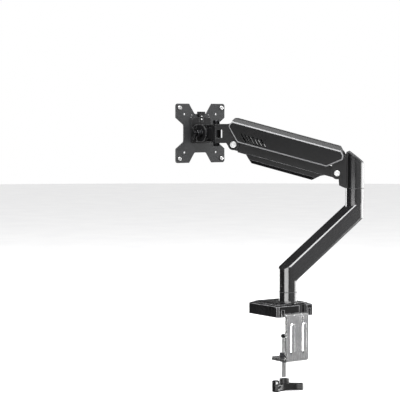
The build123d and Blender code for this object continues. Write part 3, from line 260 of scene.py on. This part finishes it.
def coated(name, tone, rough, spread, grain, grain_depth, wear_highlight_tone, wear_highlight_amount=0.5, edge=0.0006, specular=0.5,
           patchy=0.75, bevel_highlight=None):
    """Powder coat, enamel or moulded plastic: grain, faint mottling, dusty patches, and edges lightened
    partly by rubbed wear and partly as a painted highlight line.

    The last argument is (across, up, top) for the bevel mask: those faces take the edge colour as a painted
    highlight line.
    """
    s = Shader(name)
    mottle = s.noise(18, 4)
    fine = s.noise(grain, 2)
    smudge = s.noise(55, 5, stretch=(1, 1, 0.35), roughness=0.7)
    scuff = s.noise(260, 3, stretch=(1, 1, 0.08), turn=0.4)
    edge_mask, rounded = s.edges(edge, 0.06)
    darker = tuple(v * 0.82 for v in tone)
    lighter = tuple(v * 1.2 for v in tone)
    colour = s.mix(s.ramp(mottle, 0.35, 0.65), darker, lighter)
    speck = s.ramp(fine, 0.60, 0.72, 0.0, 0.2)
    colour = s.mix(speck, colour, tuple(v * 1.9 for v in tone))
    # edges: partly rubbed wear, partly a painted highlight line
    wear_highlight_mask = s.math("MULTIPLY", edge_mask, s.ramp(smudge, 0.38, 0.62, 1.0 - patchy, 1.0))
    wear_highlight_mask = s.math("MULTIPLY", wear_highlight_mask, wear_highlight_amount)
    if bevel_highlight:
        # painted highlight line on the bevel faces, picked by face direction and height
        painted_bevel_line = s.math("MULTIPLY", s.painted_bevel_faces(*bevel_highlight), s.ramp(smudge, 0.3, 0.7, 0.8, 1.0))
        wear_highlight_mask = s.math("MAXIMUM", s.math("MULTIPLY", wear_highlight_mask, 0.35), painted_bevel_line)
    colour = s.mix(wear_highlight_mask, colour, wear_highlight_tone)
    s.link(colour, s.bsdf.inputs["Base Color"])
    shine = s.ramp(smudge, 0.3, 0.7, rough - spread, rough + spread)
    shine = s.math("ADD", shine, s.ramp(scuff, 0.62, 0.75, 0.0, spread * 0.8))
    s.link(shine, s.bsdf.inputs["Roughness"])
    s.bsdf.inputs["Specular IOR Level"].default_value = specular
    s.bumps([(fine, 0.3, grain_depth)], rounded)
    return s.mat


def metal(name, tone, rough, spread, grain_dir, lines, wear_highlight_tone, edge=0.0005, depth=0.00002, tint=0.12,
          painted_lit_sides=None):
    """Plated or polished steel with a grain along one axis, blotchy plating, and edges brightened partly by
    wear and partly as a painted highlight.

    The last argument is (direction, colour): faces turned away from the direction take that colour as a
    painted highlight.
    """
    s = Shader(name)
    stretch = [1.0, 1.0, 1.0]
    stretch["XYZ".index(grain_dir)] = 0.03
    strokes = s.noise(lines, 3, stretch=tuple(stretch))
    blotch = s.noise(30, 5, roughness=0.65)
    pits = s.noise(900, 2)
    edge_mask, rounded = s.edges(edge, 0.3)
    low = tuple(v * (1 - tint) for v in tone)
    high = tuple(min(1.0, v * (1 + tint)) for v in tone)
    colour = s.mix(s.ramp(blotch, 0.32, 0.68), low, high)
    colour = s.mix(s.ramp(strokes, 0.35, 0.7, 0.0, 0.35), colour, low)
    # painted highlight: faces turned aside from the direction are made paler
    if painted_lit_sides:
        direction, lit_side_tone = painted_lit_sides
        lit_side_mask = s.ramp(s.math("ABSOLUTE", s.dot(s.facing(), direction), 0.0), 0.55, 0.92, 1.0, 0.0)
        colour = s.mix(s.math("MULTIPLY", lit_side_mask, s.ramp(blotch, 0.3, 0.7, 0.85, 1.0)), colour, lit_side_tone)
    # edges: partly rubbed bright, partly a painted highlight line
    colour = s.mix(s.math("MULTIPLY", edge_mask, 0.55), colour, wear_highlight_tone)
    s.link(colour, s.bsdf.inputs["Base Color"])
    s.bsdf.inputs["Metallic"].default_value = 1.0
    shine = s.math("ADD", s.ramp(strokes, 0.3, 0.7, rough - spread, rough + spread),
                   s.ramp(blotch, 0.4, 0.7, -spread * 0.4, spread * 0.6))
    s.link(shine, s.bsdf.inputs["Roughness"])
    s.bumps([(strokes, 0.25, depth), (pits, 0.15, depth * 0.5)], rounded)
    return s.mat


CROWN_HEIGHT = 0.0074    # of the upper arm cover's crown, above its flank bevels
LIFT_AXIS = Vector(next(joint["axis"] for joint in frame["joints"] if joint["name"] == "lift"))
ARM_SLOPE = math.radians(15)
UP = Vector((0.0, 0.0, 1.0))
ARM_UP = UP * math.cos(ARM_SLOPE) + LIFT_AXIS.cross(UP) * math.sin(ARM_SLOPE)
COVER_TOP = max(vertex.co.dot(ARM_UP) for vertex in NODES["arm_cover"].data.vertices)

BLACK_PAINT = (0.006, 0.006, 0.0064)
BLACK_PLASTIC = (0.004, 0.004, 0.0043)
GREY_EDGE = (0.16, 0.16, 0.165)
# pale edge grey: partly rubbed paint, partly a painted highlight line along edges
PALE_WEAR_HIGHLIGHT = (0.46, 0.46, 0.47)
LOOKS = {
    "tube_paint": coated("tube_paint", BLACK_PAINT, 0.17, 0.02, 1700, 0.0000008, GREY_EDGE,
                         wear_highlight_amount=0.3, edge=0.0008, specular=0.8),
    "sheet_paint": coated("sheet_paint", BLACK_PAINT, 0.40, 0.05, 2200, 0.000006, PALE_WEAR_HIGHLIGHT,
                          wear_highlight_amount=0.35, edge=0.0006, specular=0.25),
    "plate_paint": coated("plate_paint", (0.016, 0.0165, 0.0175), 0.48, 0.06, 2600, 0.000008, PALE_WEAR_HIGHLIGHT,
                          wear_highlight_amount=0.25, edge=0.0006, specular=0.4),
    # the cover's flank bevels get a painted highlight line in its pale edge colour
    "cover_plastic": coated("cover_plastic", BLACK_PLASTIC, 0.30, 0.03, 3000, 0.000002, (0.17, 0.17, 0.174),
                            wear_highlight_amount=0.9, edge=0.0007, specular=0.2,
                            bevel_highlight=(LIFT_AXIS, ARM_UP, COVER_TOP - CROWN_HEIGHT)),
    "duct_plastic": coated("duct_plastic", BLACK_PLASTIC, 0.30, 0.03, 3000, 0.000002, PALE_WEAR_HIGHLIGHT,
                           wear_highlight_amount=0.5, edge=0.0008, specular=0.2, patchy=0.35),
    "base_plastic": coated("base_plastic", BLACK_PLASTIC, 0.26, 0.03, 3000, 0.000002, PALE_WEAR_HIGHLIGHT,
                           wear_highlight_amount=1.0, edge=0.0010, specular=0.25, patchy=0.35),
    "soft_plastic": coated("soft_plastic", (0.007, 0.007, 0.0074), 0.44, 0.06, 1900, 0.00001, GREY_EDGE,
                           wear_highlight_amount=0.6, edge=0.0006, specular=0.25),
    "knob_plastic": coated("knob_plastic", (0.004, 0.004, 0.004), 0.20, 0.04, 1500, 0.000004,
                           (0.22, 0.22, 0.22), wear_highlight_amount=0.4, edge=0.0007, specular=0.5),
    "foam": coated("foam", (0.03, 0.03, 0.03), 0.85, 0.05, 900, 0.00012, GREY_EDGE,
                   wear_highlight_amount=0.0, specular=0.2),
    "polymer": coated("polymer", (0.07, 0.07, 0.07), 0.5, 0.05, 1800, 0.00001, GREY_EDGE,
                      wear_highlight_amount=0.2, edge=0.0004),
    "enamel": coated("enamel", (0.012, 0.012, 0.012), 0.22, 0.05, 1500, 0.00001, GREY_EDGE, wear_highlight_amount=0.2),
    # clamp steel: faces not turned along Y are painted paler as a highlight
    "clamp_steel": metal("clamp_steel", (0.46, 0.46, 0.465), 0.26, 0.03, "Z", 900, (0.8, 0.8, 0.8),
                         edge=0.0007, depth=0.000006, painted_lit_sides=((0.0, 1.0, 0.0), (0.95, 0.95, 0.95))),
    "bright_steel": metal("bright_steel", (0.58, 0.58, 0.58), 0.36, 0.06, "Z", 1400, (0.95, 0.95, 0.95)),
    "zinc": metal("zinc", (0.62, 0.62, 0.62), 0.42, 0.06, "Z", 1400, (0.9, 0.9, 0.9)),
    "dark_steel": metal("dark_steel", (0.035, 0.035, 0.038), 0.34, 0.08, "X", 1400, (0.3, 0.3, 0.3),
                        tint=0.2),
    "chrome": metal("chrome", (0.80, 0.80, 0.81), 0.08, 0.03, "Z", 1200, (0.9, 0.9, 0.9), tint=0.04),
    "bronze": metal("bronze", (0.45, 0.32, 0.14), 0.32, 0.06, "Z", 1200, (0.7, 0.5, 0.25)),
}

FINISH = {
    "tube_paint": ("lower_arm", "post_collar", "elbow_knuckle"),
    "sheet_paint": ("elbow_bracket", "screw_seat", "upper_link", "lower_link", "front_bracket", "pan_head",
                    "tilt_bracket", "release_plate", "bolt_lugs"),
    "plate_paint": ("vesa_plate",),
    "cover_plastic": ("arm_cover",),
    "duct_plastic": ("cable_cover", "elbow_cap"),
    "base_plastic": ("base_cover",),
    "soft_plastic": ("cable_clip", "pressure_tip", "lower_cable_cover", "release_tab"),
    "knob_plastic": ("clamp_knob",),
    "foam": ("base_pad",),
    "polymer": ("lower_swivel_washer", "upper_swivel_washer", "lower_bush", "elbow_bush"),
    "enamel": ("gas_cylinder", "cylinder_eye"),
    "clamp_steel": ("clamp_bracket",),
    "bright_steel": ("clamp_screw", "post_spindle", "lower_retainer", "elbow_spindle", "elbow_upper_pin",
                     "elbow_lower_bolt", "tension_block", "anchor_pin", "rod_eye", "spring_front_pin",
                     "front_bolts"),
    "zinc": ("vesa_screws", "release_screws"),
    "dark_steel": ("spindle_bolt", "foot_nut", "rear_bolts", "set_screw", "bracket_screws", "tension_screw",
                   "cover_screws", "pan_bolt", "pan_nut", "tilt_bolt", "tilt_washers", "tilt_nut",
                   "rotation_rivet"),
    "chrome": ("gas_rod",),
    "bronze": ("upper_link_bushes", "lower_link_bushes", "pan_bushes"),
}
for look, members in FINISH.items():
    for member in members:
        mesh = NODES[member].data
        mesh.materials.clear()
        mesh.materials.append(LOOKS[look])
unpainted = set(NODES) - {n for members in FINISH.values() for n in members}
if unpainted:
    raise RuntimeError(f"no finish for {sorted(unpainted)}")


# ---------------------------------------------------------------- the clamp screw's real thread
def thread(name, centre, low, high, core, crest, pitch, tip_r, tip_top, sides=32):
    """A right-hand thread: one ridge wound on a core with a plain tip, each a closed part of the mesh."""
    bm = bmesh.new()

    def corner(radius, step, z):
        angle = 2 * math.pi * step / sides
        return bm.verts.new((centre[0] + radius * math.cos(angle), centre[1] + radius * math.sin(angle), z))

    def ring(radius, z):
        return [corner(radius, step, z) for step in range(sides)]

    outline = ((core * 0.8, low), (core, low + 0.0006), (core, tip_top[0]), (tip_r, tip_top[0] + 0.0004),
               (tip_r, tip_top[1]))
    rings = [ring(r, z) for r, z in outline]
    for a, b in zip(rings, rings[1:]):
        for i in range(sides):
            j = (i + 1) % sides
            bm.faces.new((a[i], a[j], b[j], b[i]))
    bm.faces.new(list(reversed(rings[0])))
    bm.faces.new(rings[-1])
    # the ridge's cross-section: share of the pitch, share of the thread's depth
    shape = ((0.10, -0.06), (0.42, 1.0), (0.58, 1.0), (0.90, -0.06))
    steps = int((high - low) / pitch * sides)
    previous = None
    for i in range(steps + 1):
        taper = max(0.02, min(1.0, 2 * i / sides, 2 * (steps - i) / sides))
        current = []
        for along, lift in shape:
            radius = core + (crest - core) * lift * (taper if lift > 0 else 1.0)
            current.append(corner(radius, i, low + pitch * (i / sides + along - 0.5)))
        if previous is None:
            bm.faces.new(current)
        else:
            for k in range(4):
                n = (k + 1) % 4
                bm.faces.new((previous[k], previous[n], current[n], current[k]))
        previous = current
    bm.faces.new(list(reversed(previous)))
    bmesh.ops.recalc_face_normals(bm, faces=bm.faces)
    mesh = bpy.data.meshes.new(name)
    bm.to_mesh(mesh)
    bm.free()
    piece = bpy.data.objects.new(name, mesh)
    scene.collection.objects.link(piece)
    return piece


screw_low, screw_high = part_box("clamp_screw")
screw_mid = (screw_low + screw_high) / 2
# The knob's top is 0.018 above the screw's lower end and the thread starts 0.0007 below THREAD_START,
# so 0.0028 of screw is missing between the two.
THREAD_START = 0.0215    # above the screw's lower end
THREAD_STOP = 0.0056     # below its upper end
TIP_LENGTH = 0.0044      # plain end that turns in the pressure cap
clamp_thread = thread(
    "clamp_thread", (screw_mid.x, screw_mid.y),
    low=screw_low.z + THREAD_START, high=screw_high.z - THREAD_STOP,
    core=0.0042, crest=0.0049, pitch=0.00175,
    tip_r=0.003, tip_top=(screw_high.z - TIP_LENGTH, screw_high.z),
)
clamp_thread.data.materials.append(LOOKS["bright_steel"])
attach(clamp_thread, "clamp_spindle")
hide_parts("clamp_screw")


# ---------------------------------------------------------------- floor
FLOOR_RADIUS = 9.0
FLOOR_GAP = 0.0005       # below the lowest point of the part


def floor():
    """A round pale floor just under the knob, with fine mottling."""
    s = Shader("floor_paint")
    tone = s.mix(s.ramp(s.noise(6, 4), 0.3, 0.7), (0.86, 0.86, 0.865), (0.90, 0.90, 0.90))
    s.link(tone, s.bsdf.inputs["Base Color"])
    s.bsdf.inputs["Roughness"].default_value = 0.7
    s.bumps([(s.noise(300, 3), 0.1, 0.0002)])
    bm = bmesh.new()
    bmesh.ops.create_circle(bm, cap_ends=True, segments=96, radius=FLOOR_RADIUS)
    mesh = bpy.data.meshes.new("floor")
    bm.to_mesh(mesh)
    bm.free()
    mesh.materials.append(s.mat)
    piece = bpy.data.objects.new("floor", mesh)
    piece.location = (CENTRE.x, CENTRE.y, cad_box[0][2] - FLOOR_GAP)
    piece.visible_glossy = False
    scene.collection.objects.link(piece)


floor()

bpy.context.view_layer.update()
